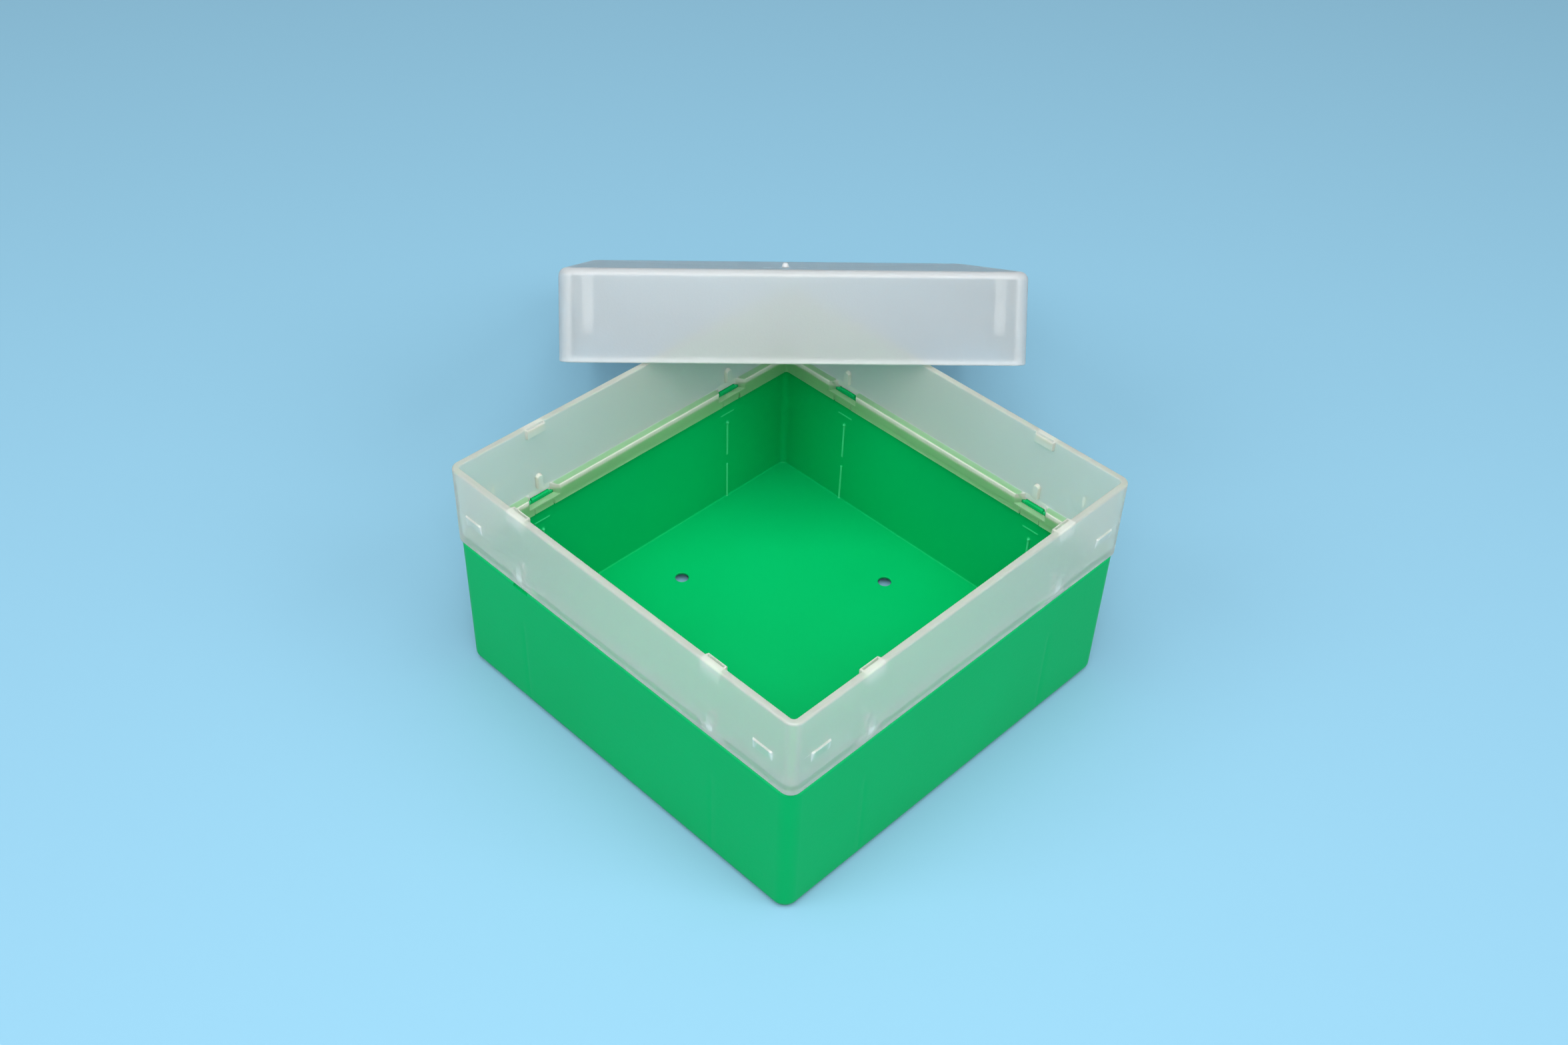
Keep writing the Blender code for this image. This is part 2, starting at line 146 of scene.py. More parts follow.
def carried(name, profile, half, corner, places, closed=False, place=None):
    """A piece from a profile: a list of (points, push), where push(w, z) moves a wall outwards.

    Points are (h, z), which get the piece's corner, or whole rows (h, r, z, s). A place turns and
    moves each finished point p to R p + t.
    """
    rows, pushes = [], []
    for points, push in profile:
        if points.shape[1] == 2:
            points = with_corner(points, half, corner)
        rows.append(points)
        z, w = points[:, 2][:, None], places[None, :]
        pushes.append(push(w, z) if push else np.zeros((len(points), len(places))))
    points = round_square(np.vstack(rows), places, np.vstack(pushes))
    if place is not None:
        turned = np.array(place.to_3x3()) @ points.reshape(-1, 3).T
        points = (turned.T + np.array(place.translation)).reshape(points.shape)
    return new_piece(name, points, skin(points, closed))


def at_latches(name, outline, axis, low, high, flare=None):
    """Eight closed prisms, one at each latch.

    The outline is (out, up) for an axis along the wall or (along, out) for one that goes up, and
    is swept from low to high. A flare (start, slope) widens the prism along the wall by the slope
    times its distance inwards from the start.
    """
    order = {"along": (2, 0, 1), "up": (0, 1, 2)}[axis]
    outline = np.asarray(outline, float)
    count = len(outline)
    ends = [np.column_stack((outline, np.full(count, level)))[:, order] for level in (low, high)]
    prism = np.vstack(ends)
    if flare:
        prism[:, 0] += np.sign(prism[:, 0]) * flare[1] * (flare[0] - prism[:, 1])
    turn = np.radians(np.arange(4) * 90.0 - 90.0)[:, None, None]
    side = np.array([-LATCH_REACH, LATCH_REACH])[None, :, None]
    along, out, up = prism[None, None].transpose(3, 0, 1, 2)
    x = np.cos(turn) * out - np.sin(turn) * (along + side)
    y = np.sin(turn) * out + np.cos(turn) * (along + side)
    points = np.stack((x, y, np.broadcast_to(up, x.shape)), -1).reshape(8, 2 * count, 3)
    ring = np.arange(count)
    on = (ring + 1) % count
    sides = np.column_stack((ring, ring + count, on + count, on)).tolist()
    faces = [ring.tolist(), (ring[::-1] + count).tolist(), *sides]
    every = [[v + 2 * count * k for v in face] for k in range(8) for face in faces]
    piece = new_piece(name, points, every)
    point_outwards(piece)
    return piece


def point_outwards(piece):
    """Turns the faces of closed solids outwards."""
    bm = bmesh.new()
    bm.from_mesh(piece.data)
    bmesh.ops.recalc_face_normals(bm, faces=bm.faces)
    bm.to_mesh(piece.data)
    bm.free()


def cut(piece, cutters):
    """Takes other solids away from a piece, and then removes them from the scene."""
    for cutter in cutters:
        boolean = piece.modifiers.new(cutter.name, "BOOLEAN")
        boolean.operation = "DIFFERENCE"
        boolean.object = cutter
    seen = piece.evaluated_get(bpy.context.evaluated_depsgraph_get())
    made = bpy.data.meshes.new_from_object(seen)
    made.name = piece.name
    piece.modifiers.clear()
    piece.data = made
    for cutter in cutters:
        bpy.data.objects.remove(cutter)


def shade(piece, sharp=38.0):
    """Round surfaces are shaded smooth, edges over the angle stay sharp and flats stay flat."""
    piece.data.shade_smooth()
    piece.data.set_sharp_from_angle(angle=math.radians(sharp))
    piece.modifiers.new("flats stay flat", "WEIGHTED_NORMAL").keep_sharp = True


def mark_thickness_and_painted_light(piece, thickness_and_light, place=None):
    """Stores on each point a value from 0 to 1, which the function given works out from (w, out,
    z),
    for a material to read: a share of thickness, and of light or shade painted in.

    In mm, w is along the wall and out is from the middle. A place is undone first, so that they
    are measured on the piece as it stands level.
    """
    mesh = piece.data
    flat = np.empty(3 * len(mesh.vertices), np.float32)
    mesh.vertices.foreach_get("co", flat)
    points = flat.reshape(-1, 3) / MM
    if place is not None:
        points = (points - np.array(place.translation)) @ np.array(place.to_3x3())
    x, y, z = points.T
    across_x = np.abs(x) > np.abs(y)
    values = thickness_and_light(np.where(across_x, y, x), np.where(across_x, np.abs(x), np.abs(y)), z)
    layer = mesh.attributes.new("thickness_and_painted_light", "FLOAT", "POINT")
    layer.data.foreach_set("value", np.asarray(values, np.float32))


def sink_marks(w, z):
    """Shallow hollows outside, where the plastic shrank behind the inner ribs."""
    depth, aside, half_width = 0.12, 0.4, 0.9
    hollow = np.exp(-(((np.abs(w) - LATCH_REACH - aside) / half_width) ** 2))
    return -depth * hollow * band(z, 3.0, 30.0, 5.0)


def ribs_and_dashes(w, z):
    """Inside, a half-round rib in two lengths, with a dot on its upper end, under a dash."""
    dot_proud, dot_radius = 0.3, 0.5
    from_latch = np.abs(w) - LATCH_REACH
    across = np.clip(1.0 - (from_latch / RIB_HALF_WIDTH) ** 2, 0.0, 1.0) ** 0.5
    lengths = band(z, 0.0, RIB_BREAK_FOOT, 0.3) + band(z, RIB_BREAK_TOP, RIB_TOP, 0.3)
    dot = np.exp(-((from_latch / dot_radius) ** 2 + ((z - RIB_TOP + 0.2) / dot_radius) ** 2))
    dash = band(from_latch, -DASH_HALF, DASH_HALF, 0.3) * band(z, DASH_FOOT, DASH_TOP, 0.2)
    return -(RIB_PROUD * across * lengths + dot_proud * dot + DASH_PROUD * dash)


foot = TRAY_OUTER - TRAY_DRAFT
inner_foot = TRAY_INNER - TRAY_DRAFT
shoulder_foot = TRAY_HEIGHT - SHOULDER_ROUND
lip_foot = TRAY_HEIGHT - LIP_ROUND
# Rows lie close together where a dash or the end of a rib needs them.
inner_heights = np.concatenate((
    np.linspace(lip_foot, 37.0, 5),
    np.linspace(36.0, 35.0, 11),
    np.linspace(34.0, 33.0, 2),
    np.linspace(32.8, 31.2, 12),
    np.linspace(30.0, 21.0, 5),
    np.linspace(20.0, 19.2, 6),
    np.linspace(18.0, 17.0, 2),
    np.linspace(16.4, 15.6, 6),
    np.linspace(14.5, TRAY_FLOOR + FLOOR_FILLET, 6),
))
tray_profile = [
    (arc(foot - FOOT_ROUND, FOOT_ROUND, FOOT_ROUND, -90, 0, 8), None),
    (
        climb(np.linspace(3.5, 41.5, 24), (foot, FOOT_ROUND), (TRAY_OUTER, shoulder_foot)),
        sink_marks,
    ),
    (arc(TRAY_OUTER - SHOULDER_ROUND, shoulder_foot, SHOULDER_ROUND, 0, 90, 8), None),
    (arc(TRAY_INNER + LIP_ROUND, lip_foot, LIP_ROUND, 90, 165, 4), None),
    (
        climb(inner_heights, (inner_foot, TRAY_FLOOR), (TRAY_INNER, TRAY_HEIGHT)),
        ribs_and_dashes,
    ),
    (arc(inner_foot - FLOOR_FILLET, TRAY_FLOOR + FLOOR_FILLET, FLOOR_FILLET, 0, -90, 5)[1:], None),
]
tray_places = both_ways(
    np.array([0.0, 0.12, 0.24, 0.34, 0.42, 0.5, 0.8, 1.4, 2.0, 2.55, 2.75, 2.95, 4.0]),
    LATCH_REACH,
)
tray = carried("tray_shell", tray_profile, TRAY_OUTER, TRAY_CORNER, tray_places)


def drain_hole_cutters():
    """Four round plugs, with a rounded edge at the floor's top face, that widen under a thin lip.

    A plug is a profile (radius, height) turned about its axis: (m + r cos a, r sin a, z).
    """
    edge, past = 0.25, 0.4
    rounded = arc(HOLE_RADIUS + edge, TRAY_FLOOR - edge, edge, 180, 95, 5)
    relief = [[HOLE_RELIEF + past, -past], [HOLE_RADIUS + 0.1, TRAY_FLOOR - HOLE_LIP]]
    profile = np.vstack((relief, rounded, [HOLE_RADIUS + past, TRAY_FLOOR + 0.5]))
    a = np.linspace(0.0, 2 * np.pi, 48, endpoint=False)
    middles = HOLE_REACH * np.array([[1.0, 0.0], [0.0, 1.0], [-1.0, 0.0], [0.0, -1.0]])
    cutters = []
    for number, middle in enumerate(middles):
        r, z = profile[:, 0][:, None], profile[:, 1][:, None]
        x, y = middle[0] + r * np.cos(a), middle[1] + r * np.sin(a)
        points = np.stack((x, y, np.broadcast_to(z, x.shape)), -1)
        cutters.append(new_piece(f"drain_hole_{number}", points, skin(points, False)))
    return cutters


def thumb_notch_cutter():
    """A slim wedge that nicks the shoulder under one latch of the wall at -Y."""
    x = np.array([-39.6, -39.2, -33.9, -33.5])
    bottom = np.column_stack((x, [-64.0, -63.0, -63.0, -64.0], np.full(4, 42.7)))
    top = np.column_stack((x, [-64.0, -62.9, -62.9, -64.0], np.full(4, 44.6)))
    faces = [[0, 1, 2, 3], [7, 6, 5, 4], [0, 4, 5, 1], [1, 5, 6, 2], [2, 6, 7, 3], [3, 7, 4, 0]]
    piece = new_piece("thumb_notch", np.vstack((bottom, top)), faces)
    point_outwards(piece)
    return piece


cut(tray, [*drain_hole_cutters(), thumb_notch_cutter()])
shade(tray)


def painted_highlights_in_tray(w, out, z):
    """Painted highlights, up to 1 on the ribs, dots and dashes inside and 0.35 along the shoulder.
    """
    inside = (out < TRAY_INNER + 0.05) * (out > TRAY_INNER - 1.2) * (z > TRAY_FLOOR)
    marks = -ribs_and_dashes(w, z) / 0.34 * inside
    shoulder = 0.35 * smooth(z, 43.2, 43.9)
    return np.clip(np.maximum(marks, shoulder), 0.0, 1.0)


mark_thickness_and_painted_light(tray, painted_highlights_in_tray)

tab_outline = [(61.35, 42.6), (61.7, 42.4), (62.6, 42.4), (62.6, 44.7), (61.6, 44.7), (61.35, 44.4)]
tabs = at_latches("tray_tabs", tab_outline, "along", -3.1, 3.1)
shade(tabs)


def linear(colour):
    """A linear RGBA colour from sRGB hex: c / 12.92, or ((c + 0.055) / 1.055) ^ 2.4 above 0.04."""
    c = np.array([int(colour[i : i + 2], 16) for i in (1, 3, 5)]) / 255.0
    c = np.where(c <= 0.04045, c / 12.92, ((c + 0.055) / 1.055) ** 2.4)
    return (*c.tolist(), 1.0)


def node(material, kind, inputs=None, **settings):
    """Adds a node with its settings; an input is a plain value or another node's output."""
    tree = material.node_tree
    made = tree.nodes.new("ShaderNode" + kind)
    for name, value in settings.items():
        setattr(made, name, value)
    for name, value in (inputs or {}).items():
        if isinstance(value, bpy.types.NodeSocket):
            tree.links.new(value, made.inputs[name])
        else:
            made.inputs[name].default_value = value
    return made


def new_material(name):
    """An empty node material."""
    material = bpy.data.materials.new(name)
    material.use_nodes = True
    material.node_tree.nodes.clear()
    return material


def put_on(piece, material, body):
    """Gives a piece its material, and says which body it rides on and what it is made of."""
    piece.data.materials.clear()
    piece.data.materials.append(material)
    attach(piece, body)


# Opaque green polypropylene, injection-moulded in a spark-eroded tool: an even satin green whose
# grain of about 0.6 mm breaks up the gloss, with fine drag lines along one diagonal. The ribs,
# dots, dashes and shoulder, where the stored value is over 0, are painted paler: painted
# highlights.
MIX_SHARE, MIX_FROM, MIX_TO, MIX_RESULT = 0, 6, 7, 2  # a Mix node's sockets for colours

green_pp = new_material("moulded green polypropylene, satin")
spot = node(green_pp, "TexCoord").outputs["Object"]
grain = node(
    green_pp, "TexNoise", {"Vector": spot, "Scale": 1 / (0.6 * MM), "Detail": 2.0, "Roughness": 0.6}
)
drag_place = node(
    green_pp,
    "Mapping",
    {"Vector": spot, "Rotation": (0.0, 0.0, math.radians(45)), "Scale": (0.14, 1.0, 1.0)},
)
drag = node(
    green_pp,
    "TexNoise",
    {"Vector": drag_place.outputs["Vector"], "Scale": 1 / (0.9 * MM), "Detail": 1.0},
)
flow = node(green_pp, "TexNoise", {"Vector": spot, "Scale": 1 / (35 * MM), "Detail": 2.0})
thickness_and_painted_light = node(green_pp, "Attribute", attribute_name="thickness_and_painted_light")
green = node(
    green_pp,
    "Mix",
    {MIX_SHARE: flow.outputs["Fac"], MIX_FROM: linear("#00A659"), MIX_TO: linear("#00AE60")},
    data_type="RGBA",
)
# Painted highlights: the ribs, dots, dashes and shoulder are mixed towards a paler green.
colour = node(
    green_pp,
    "Mix",
    {
        MIX_SHARE: thickness_and_painted_light.outputs["Fac"],
        MIX_FROM: green.outputs[MIX_RESULT],
        MIX_TO: linear("#3CCB88"),
    },
    data_type="RGBA",
)
gloss = node(green_pp, "MapRange", {"Value": grain.outputs["Fac"], "To Min": 0.33, "To Max": 0.47})
height = node(
    green_pp, "Math", {0: grain.outputs["Fac"], 1: drag.outputs["Fac"]}, operation="ADD"
)
relief = node(
    green_pp,
    "Bump",
    {"Height": height.outputs["Value"], "Strength": 0.45, "Distance": 0.03 * MM},
)
shader = node(
    green_pp,
    "BsdfPrincipled",
    {
        "Base Color": colour.outputs[MIX_RESULT],
        "Roughness": gloss.outputs["Result"],
        "Normal": relief.outputs["Normal"],
        "IOR": 1.49,
        "Specular IOR Level": 0.07,
        "Subsurface Weight": 0.12,
        "Subsurface Radius": (0.5, 1.0, 0.6),
        "Subsurface Scale": 1.5 * MM,
    },
)
node(green_pp, "OutputMaterial", {"Surface": shader.outputs["BSDF"]})

put_on(tray, green_pp, "tray")
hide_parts("base_tray")
put_on(tabs, green_pp, "tray")

# ---------------------------------------------------------------------------------------------
# The collar: a square band moulded in natural polypropylene, translucent and nearly colourless.
# A flange inside its foot sits on the tray's rim and a thin skirt goes down inside the tray. Each
# latch is a flared pocket and a window that the tray's tab shows through, between two slits.

COLLAR_OUTER, COLLAR_INNER, COLLAR_CORNER = 63.8, 61.8, 3.2
COLLAR_FOOT, RIM = 44.4, 69.0
FLANGE_TOP, SKIRT_FOOT, SKIRT_STEP = 46.6, 40.4, 42.5
SKIRT_OUTER, SKIRT_INNER = 61.2, 59.5
RIM_ROUND = 0.6
PAD_PROUD, PAD_FOOT = 0.9, 66.0
LUG_HALF, LUG_FOOT, LUG_TOP, LUG_PROUD = 1.0, 47.6, 52.2, 1.15
BUMP_MIDDLE, BUMP_PROUD, BUMP_FOOT, BUMP_TOP = 54.2, 0.45, 53.0, 56.0


def grip_bumps(w, z):
    """Outside near the corners, wedges that rise from the wall towards a square upper end."""
    across = band(np.abs(w) - BUMP_MIDDLE, -3.15, 3.15, 0.35)
    ramp = np.clip((z - BUMP_FOOT) / (BUMP_TOP - BUMP_FOOT), 0.0, 1.0)
    return BUMP_PROUD * across * ramp * (1.0 - smooth(z, BUMP_TOP - 0.1, BUMP_TOP + 0.25))


def rim_pads(w, z):
    """Inside the rim over each latch, a pad 6.4 mm wide and 3 mm high."""
    across = band(np.abs(w) - LATCH_REACH, -3.2, 3.2, 0.3)
    return -PAD_PROUD * across * smooth(z, PAD_FOOT - 0.15, PAD_FOOT + 0.15)


def lug(w, z):
    """1 on each lug's face and 0 off it: straight sides 2 mm apart and a round head."""
    x = np.abs(w) - LATCH_REACH
    spring = LUG_TOP - LUG_HALF
    from_edge = np.where(z > spring, np.hypot(x, z - spring), np.abs(x)) - LUG_HALF
    return (1.0 - smooth(from_edge, -0.1, 0.1)) * smooth(z, LUG_FOOT - 0.1, LUG_FOOT + 0.1)


def pads_and_lugs(w, z):
    """The pads, and under each a round-headed lug that stands 1.15 mm proud."""
    return rim_pads(w, z) - LUG_PROUD * lug(w, z)


skirt_points = np.vstack((
    arc(SKIRT_INNER + 0.3, FLANGE_TOP - 0.3, 0.3, 90, 180, 4),
    [SKIRT_INNER, 44.5],
    [SKIRT_INNER, SKIRT_STEP + 0.1],
    [SKIRT_INNER + 0.18, SKIRT_STEP - 0.1],
    arc(SKIRT_INNER + 0.38, SKIRT_FOOT + 0.2, 0.2, 180, 270, 3),
    arc(SKIRT_OUTER - 0.4, SKIRT_FOOT + 0.4, 0.4, -90, 0, 4),
    [SKIRT_OUTER, 42.5],
    [SKIRT_OUTER, COLLAR_FOOT],
))
collar_profile = [
    (arc(COLLAR_OUTER - 0.4, COLLAR_FOOT + 0.4, 0.4, -90, 0, 4), None),
    (
        climb(
            np.concatenate((
                np.linspace(46.0, 52.5, 5),
                np.linspace(53.0, 55.5, 7),
                np.linspace(55.8, 56.4, 7),
                np.linspace(58.0, 68.2, 6),
            )),
            (COLLAR_OUTER, COLLAR_FOOT),
            (COLLAR_OUTER, RIM),
        ),
        grip_bumps,
    ),
    (arc(COLLAR_OUTER - RIM_ROUND, RIM - RIM_ROUND, RIM_ROUND, 0, 90, 6), None),
    (arc(COLLAR_INNER + 0.4, RIM - 0.4, 0.4, 90, 180, 5), rim_pads),
    (
        climb(
            np.concatenate((
                np.linspace(68.2, 66.4, 4),
                np.linspace(66.2, 65.8, 5),
                np.linspace(64.5, 53.0, 6),
                np.linspace(52.5, 51.0, 16),
                np.linspace(50.0, 48.2, 3),
                np.linspace(47.8, 47.4, 5),
            )),
            (COLLAR_INNER, COLLAR_FOOT),
            (COLLAR_INNER, RIM),
        ),
        pads_and_lugs,
    ),
    (arc(COLLAR_INNER - 0.2, FLANGE_TOP + 0.2, 0.2, 0, -90, 3), None),
    (with_corner(skirt_points, TRAY_OUTER, TRAY_CORNER), None),
]
collar_places = both_ways(
    np.array([
        0.0, 0.2, 0.4, 0.6, 0.75, 0.85, 0.93, 1.0, 1.07, 1.15, 2.0, 2.9, 3.05, 3.2, 3.35, 3.5, 5.0
    ]),
    LATCH_REACH,
)
bump_places = both_ways(np.array([2.0, 2.95, 3.08, 3.22, 3.36]), BUMP_MIDDLE)
collar_places = np.unique(np.concatenate((collar_places, bump_places)))
collar = carried(
    "collar_band", collar_profile, COLLAR_OUTER, COLLAR_CORNER, collar_places, closed=True
)

POCKET_BACK, SILL = 61.9, 43.6
pocket_outline = [(58.9, SILL - 0.4), (POCKET_BACK, SILL), (POCKET_BACK, 46.7), (58.9, 46.7)]
pockets = at_latches("pockets", pocket_outline, "along", -3.7, 3.7, flare=(POCKET_BACK, 0.75))
window_outline = [(61.4, 44.0), (62.95, 44.0), (62.95, 45.0), (61.4, 45.0)]
windows = at_latches("windows", window_outline, "along", -3.4, 3.4)
slit_outline = [
    (-3.6, 59.0), (3.6, 59.0), (3.6, 61.4), (3.2, 61.4),
    (3.2, 59.9), (-3.2, 59.9), (-3.2, 61.4), (-3.6, 61.4),
]
slits = at_latches("slits", slit_outline, "up", 40.0, SKIRT_STEP - 0.05)
slot_outline = [(-2.7, 61.35), (2.7, 61.35), (2.7, 61.95), (-2.7, 61.95)]
pad_slots = at_latches("pad_slots", slot_outline, "up", RIM - 1.2, RIM + 0.4)
cut(collar, [pockets, windows, slits, pad_slots])
shade(collar)


def thickness_and_painted_light_in_collar(w, out, z):
    """0 in the skirt and flange, where the material paints in green light from the tray, 0.4 in the
    wall, and up to 1 where edges meet in it, which the material makes whiter and less clear.

    Those are the pads, which are thicker plastic, and, as painted highlights, the outlines of the
    lugs and bumps, the edges of the windows and the inner top edge of the skirt.
    """
    from_latch = np.abs(w) - LATCH_REACH
    from_bump = np.abs(w) - BUMP_MIDDLE
    pad = 0.4 * band(from_latch, -3.3, 3.3, 0.2) * (z > PAD_FOOT - 0.2)
    # Painted highlights: the bumps' legs and brows, the lugs' outlines, the window edges and the
    # skirt's inner top edge.
    legs = band(np.abs(from_bump), 2.7, 3.3, 0.2) * band(z, BUMP_FOOT, BUMP_TOP + 0.3, 0.6)
    brow = 0.3 * band(from_bump, -3.2, 3.2, 0.2) * band(z, BUMP_TOP - 0.35, BUMP_TOP + 0.3, 0.3)
    on_lug = lug(w, z) * (z > LUG_FOOT - 0.2)
    outline = 4.0 * on_lug * (1.0 - on_lug) + 0.35 * on_lug
    window = band(from_latch, -4.0, 4.0, 0.2) * band(z, 46.3, 46.9, 0.2)
    edge = 0.8 * band(out, SKIRT_INNER - 0.1, SKIRT_INNER + 0.25, 0.1) * (z > FLANGE_TOP - 0.4)
    extra = np.maximum.reduce([pad, legs, brow, outline, window * (out < COLLAR_INNER + 0.3), edge])
    # The flange and skirt get 0, which the material turns into a painted green tint from the tray.
    inside = (out < COLLAR_INNER - 0.1) * (z < FLANGE_TOP + 0.1)
    wall = np.where(inside, 0.0, 0.4)
    return wall + (1.0 - wall) * np.clip(extra, 0.0, 1.0)


mark_thickness_and_painted_light(collar, thickness_and_painted_light_in_collar)

# Natural polypropylene, moulded smooth: it scatters light inside, so that what is close behind a
# wall shows soft and what is far behind it only as a tint. Its pads and edges, where the stored
# value is high, are less clear and whiter; along the edges that is a painted highlight. The flange
# and the skirt, where it is 0, have the tray's green light painted into their colour.
natural_pp = new_material("natural polypropylene, smooth")
spot = node(natural_pp, "TexCoord").outputs["Object"]
cloud = node(natural_pp, "TexNoise", {"Vector": spot, "Scale": 1 / (0.8 * MM), "Detail": 3.0})
gloss = node(
    natural_pp, "MapRange", {"Value": cloud.outputs["Fac"], "To Min": 0.29, "To Max": 0.35}
)
relief = node(
    natural_pp,
    "Bump",
    {"Height": cloud.outputs["Fac"], "Strength": 0.15, "Distance": 0.02 * MM},
)
thickness_and_painted_light = node(natural_pp, "Attribute", attribute_name="thickness_and_painted_light")
# Painted green light: at 0, in the flange and skirt, the colour is a pale green for the tray
# showing through.
colourless = node(natural_pp, "MapRange", {"Value": thickness_and_painted_light.outputs["Fac"], "From Max": 0.4})
colour = node(
    natural_pp,
    "Mix",
    {
        MIX_SHARE: colourless.outputs["Result"],
        MIX_FROM: linear("#C8F5C8"),
        MIX_TO: linear("#FCFBEF"),
    },
    data_type="RGBA",
)
# Less clear, and so whiter, at the thicker pads and at the painted highlights along edges.
clear_share = node(
    natural_pp,
    "MapRange",
    {"Value": thickness_and_painted_light.outputs["Fac"], "From Min": 0.4, "To Min": 0.73, "To Max": 0.35},
)
shader = node(
    natural_pp,
    "BsdfPrincipled",
    {
        "Base Color": colour.outputs[MIX_RESULT],
        "Roughness": gloss.outputs["Result"],
        "Normal": relief.outputs["Normal"],
        "IOR": 1.49,
        "Transmission Weight": clear_share.outputs["Result"],
        "Subsurface Weight": 0.6,
        "Subsurface Radius": (1.0, 1.0, 1.0),
        "Subsurface Scale": 2.0 * MM,
    },
)
node(natural_pp, "OutputMaterial", {"Surface": shader.outputs["BSDF"]})

put_on(collar, natural_pp, "collar")
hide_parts("collar_frame")

# ---------------------------------------------------------------------------------------------
# The lid: a shallow square cap moulded in polypropylene with a fine frosted texture outside. It
# has a gate nub in the middle of its top and eight stepped ribs inside near its corners. It leans
# on the rim, its front wall's inner edge over the collar's corner and its rear edge on the table.

LID_OUTER, LID_WALL, LID_CORNER = 66.5, 1.5, 5.0
LID_HEIGHT, LID_TOP, LID_EDGE = 26.5, 1.8, 2.5
LID_INNER = LID_OUTER - LID_WALL
LID_DISH = 0.8
RIB_MIDDLE, RIB_HALF = 58.0, 1.15
LEAN_REACH, LEAN_OFFSET, LEAN_TURN, TOUCH_GAP = 42.9, 1.1, 1.5, 0.3
STOP_FOOT, GUIDE_FOOT = LID_HEIGHT - 9.4, LID_HEIGHT - 18.2


def lid_ribs(w, z):
    """Inside, ribs that stand 2.7 mm proud down to the stop and 0.9 mm proud below it."""
    across = band(np.abs(w) - RIB_MIDDLE, -RIB_HALF, RIB_HALF, 0.2)
    guide = smooth(z, GUIDE_FOOT - 0.1, GUIDE_FOOT + 0.1)
    stop = smooth(z, STOP_FOOT - 0.1, STOP_FOOT + 0.1)
    return -across * (0.9 * guide + 1.8 * stop)


def lid_top_rows():
    """Rows from the top edge to the nub: a shallow dish, with squares turning to rounds.

    z = H - dish (1 - (h / h0)^2), then the nub: a round boss 1.6 mm tall that narrows upwards.
    """
    start = LID_OUTER - LID_EDGE
    h = np.linspace(start, 3.0, 14)[1:]
    z = LID_HEIGHT - LID_DISH * (1.0 - (h / start) ** 2)
    radius = np.minimum(LID_CORNER - LID_EDGE + (start - h) * 0.02, h)
    radius[-1] = h[-1]
    squeeze = (h - radius) / (start - (LID_CORNER - LID_EDGE))
    dish = np.column_stack((h, radius, z, squeeze))
    nub_h = np.array([1.5, 1.25, 1.15, 0.95, 0.75, 0.5, 0.2])
    nub_z = LID_HEIGHT - LID_DISH + np.array([0.0, 0.1, 0.4, 1.1, 1.4, 1.55, 1.6])
    nub = np.column_stack((nub_h, nub_h, nub_z, np.zeros(7)))
    return np.vstack((dish, nub))


# The lid's lean: its lowest edge is on the table, and its front wall's inner edge is on the rim.
lean_tilt = math.asin((RIM + TOUCH_GAP) / (2 * LID_OUTER - LID_WALL))
lean_heading = math.radians(45 + LEAN_TURN)
lean_back = Vector((-math.sin(lean_heading), math.cos(lean_heading), 0.0))
lean_side = Vector((math.cos(lean_heading), math.sin(lean_heading), 0.0))
lean_along = lean_back * math.cos(lean_tilt) - Vector((0.0, 0.0, math.sin(lean_tilt)))
lean_up = lean_side.cross(lean_along)
front_edge = Vector((-1.0, 1.0, 0.0)).normalized() * (COLLAR_OUTER * math.sqrt(2) - LEAN_REACH)
front_edge += Vector((1.0, 1.0, 0.0)).normalized() * LEAN_OFFSET
front_edge.z = 2 * LID_OUTER * math.sin(lean_tilt)
lean = Matrix((lean_side, lean_along, lean_up)).transposed().to_4x4()
lean.translation = front_edge + lean_along * LID_OUTER

ceiling = LID_HEIGHT - LID_TOP
lid_inner_heights = np.concatenate((
    np.linspace(ceiling - 0.4, 17.5, 4),
    np.linspace(17.3, 16.9, 5),
    np.linspace(16.0, 8.8, 4),
    np.linspace(8.5, 8.1, 5),
    np.linspace(6.0, 0.5, 3),
))
lid_profile = [
    (arc(LID_INNER - 0.4, ceiling - 0.4, 0.4, 90, 10, 3), None),
    (climb(lid_inner_heights, (LID_INNER, 0.0), (LID_INNER, ceiling)), lid_ribs),
    (arc(LID_INNER + 0.25, 0.25, 0.25, 180, 270, 3), None),
    (arc(LID_OUTER - 0.5, 0.5, 0.5, -90, 0, 5), None),
    (climb(np.linspace(2.0, 23.0, 8), (LID_OUTER, 0.0), (LID_OUTER, LID_HEIGHT)), None),
    (arc(LID_OUTER - LID_EDGE, LID_HEIGHT - LID_EDGE, LID_EDGE, 0, 90, 10), None),
    (lid_top_rows(), None),
]
lid_places = both_ways(np.array([0.0, 0.6, 1.05, 1.15, 1.25, 2.0]), RIB_MIDDLE)
lid_places = np.unique(np.concatenate((lid_places, np.linspace(-50.0, 50.0, 11))))
lid = carried("lid_cap", lid_profile, LID_OUTER, LID_CORNER, lid_places, place=lean)
shade(lid)


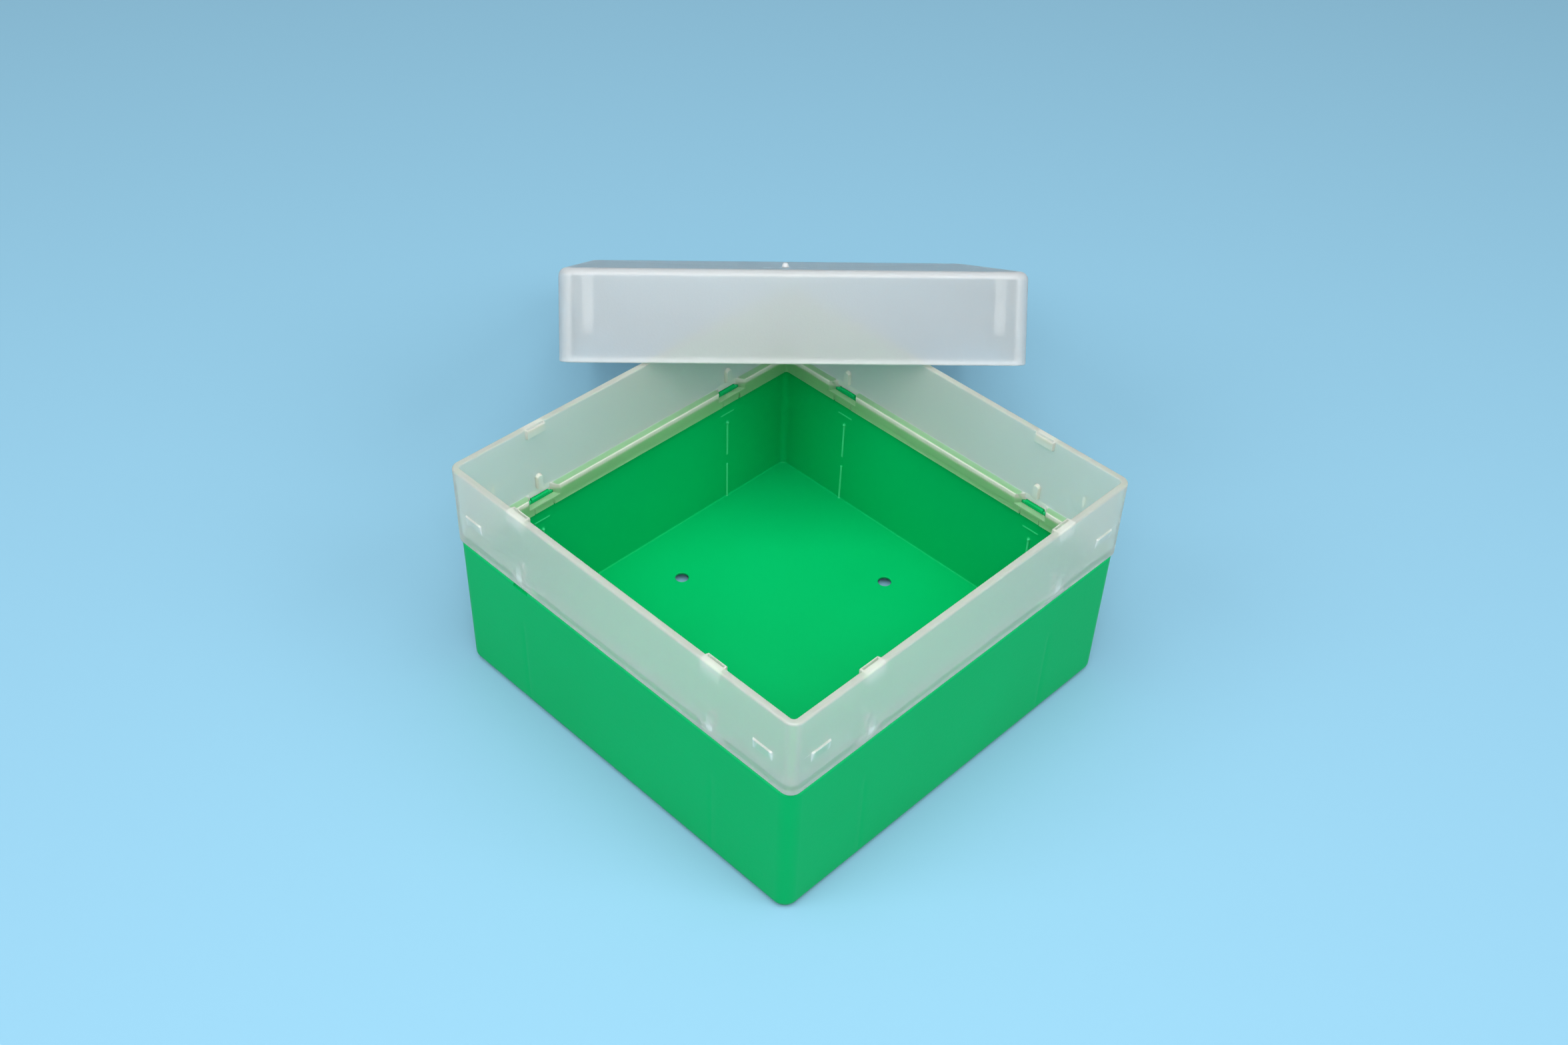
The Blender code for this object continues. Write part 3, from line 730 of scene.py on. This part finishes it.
def thickness_and_painted_light_in_lid(w, out, z):
    """0.1 in the top panel, 0.35 in the walls, and more in corners, ribs, edges and the nub, which
    the material makes less clear and whiter: thicker plastic at the ribs and nub, and painted
    highlights at the corners and edges.
    """
    panel = (z > ceiling - 0.5) * (out < LID_OUTER - LID_EDGE)
    rib = 0.35 * band(np.abs(w) - RIB_MIDDLE, -1.3, 1.3, 0.2) * (z > GUIDE_FOOT)
    # Painted highlights at the corners and along the bottom edge and the rounded top edge.
    corner = 0.5 * smooth(np.abs(w), LID_INNER - 3.0, LID_INNER - 1.5)
    edge = smooth(-z, -0.8, -0.4) + 0.5 * band(z, 24.6, 26.2, 0.5) * (out > 64.0)
    nub = 1.0 * (out < 1.6) * (z > LID_HEIGHT - 0.7)
    wall = np.where(panel, 0.1, 0.35)
    return wall + (1.0 - wall) * np.clip(np.maximum.reduce([rib, corner, edge, nub]), 0.0, 1.0)


mark_thickness_and_painted_light(lid, thickness_and_painted_light_in_lid, lean)

# Polypropylene moulded against a finely blasted tool: frosted, with grains drawn at 0.55 mm that
# blur what is behind it more than the collar's smooth walls do. Its corners and edges are painted
# whiter and less clear, as painted highlights; its ribs and nub, where the plastic is thicker, are
# less clear too.
frosted_pp = new_material("frosted polypropylene, fine grain")
spot = node(frosted_pp, "TexCoord").outputs["Object"]
frost = node(frosted_pp, "TexNoise", {"Vector": spot, "Scale": 1 / (0.55 * MM), "Detail": 3.0})
gloss = node(
    frosted_pp, "MapRange", {"Value": frost.outputs["Fac"], "To Min": 0.29, "To Max": 0.39}
)
relief = node(
    frosted_pp,
    "Bump",
    {"Height": frost.outputs["Fac"], "Strength": 0.4, "Distance": 0.05 * MM},
)
thickness_and_painted_light = node(frosted_pp, "Attribute", attribute_name="thickness_and_painted_light")
# Less clear, and so whiter, at the thicker ribs and nub and at the painted highlights on corners
# and edges.
clear_share = node(
    frosted_pp, "MapRange", {"Value": thickness_and_painted_light.outputs["Fac"], "To Min": 0.96, "To Max": 0.5}
)
shader = node(
    frosted_pp,
    "BsdfPrincipled",
    {
        "Base Color": linear("#F0F3F4"),
        "Roughness": gloss.outputs["Result"],
        "Normal": relief.outputs["Normal"],
        "IOR": 1.49,
        "Transmission Weight": clear_share.outputs["Result"],
        "Subsurface Weight": 0.6,
        "Subsurface Radius": (1.0, 1.0, 1.0),
        "Subsurface Scale": 2.0 * MM,
    },
)
node(frosted_pp, "OutputMaterial", {"Surface": shader.outputs["BSDF"]})

put_on(lid, frosted_pp, "lid")
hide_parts("lid")

# ---------------------------------------------------------------------------------------------
# The setting: a plain pale paper floor, soft square lamps, and the camera, which looks down at 41
# degrees onto the corner at +X -Y.

# The paper lies 0.2 mm under the tray's foot, so that the two faces don't share a plane.
FLOOR_HALF, FLOOR_LEVEL = 3.0, -0.0002

floor_mesh = bpy.data.meshes.new("paper_floor")
floor_corners = FLOOR_HALF * np.array([[-1, -1], [1, -1], [1, 1], [-1, 1]])
floor_points = np.column_stack((floor_corners, np.full(4, FLOOR_LEVEL)))
floor_mesh.from_pydata(floor_points.tolist(), [], [(0, 1, 2, 3)])
floor = bpy.data.objects.new("paper_floor", floor_mesh)
bpy.context.scene.collection.objects.link(floor)
paper = new_material("matt pale blue paper")
shader = node(paper, "BsdfPrincipled", {"Base Color": linear("#7FB0C8"), "Roughness": 0.9})
node(paper, "OutputMaterial", {"Surface": shader.outputs["BSDF"]})
floor_mesh.materials.append(paper)


def softbox(name, place, width, watts):
    """A square white lamp of this width in metres, which faces the middle of the box."""
    lamp = bpy.data.lights.new(name, "AREA")
    lamp.shape = "SQUARE"
    lamp.size = width
    lamp.energy = watts
    made = bpy.data.objects.new(name, lamp)
    bpy.context.scene.collection.objects.link(made)
    made.location = place
    aim = Vector((0.0, 0.0, 0.03)) - Vector(place)
    made.rotation_euler = aim.to_track_quat("-Z", "Y").to_euler()


softbox("front left", (-0.25, -0.85, 0.80), 0.6, 4.8)
softbox("front right", (0.85, 0.25, 0.80), 0.6, 4.8)
softbox("front", (0.27, -0.29, 0.46), 0.16, 0.9)
softbox("overhead", (0.25, -0.25, 1.3), 1.0, 12.0)

world = bpy.data.worlds.new("studio")
world.use_nodes = True
world.node_tree.nodes["Background"].inputs["Color"].default_value = linear("#F4F7FA")
world.node_tree.nodes["Background"].inputs["Strength"].default_value = 0.42
bpy.context.scene.world = world
bpy.context.scene.view_settings.view_transform = "Standard"

camera_data = bpy.data.cameras.new("camera")
camera_data.sensor_width = 36.0
camera_data.lens = 40.9
camera = bpy.data.objects.new("camera", camera_data)
bpy.context.scene.collection.objects.link(camera)
ahead = Vector((-0.5170, 0.5495, -0.6564)).normalized()
upwards = Vector((-0.4793, 0.4495, 0.7539))
sideways = ahead.cross(upwards).normalized()
upwards = sideways.cross(ahead)
camera.matrix_world = Matrix((sideways, upwards, -ahead)).transposed().to_4x4()
camera.location = (0.2467, -0.2643, 0.3665)
bpy.context.scene.camera = camera
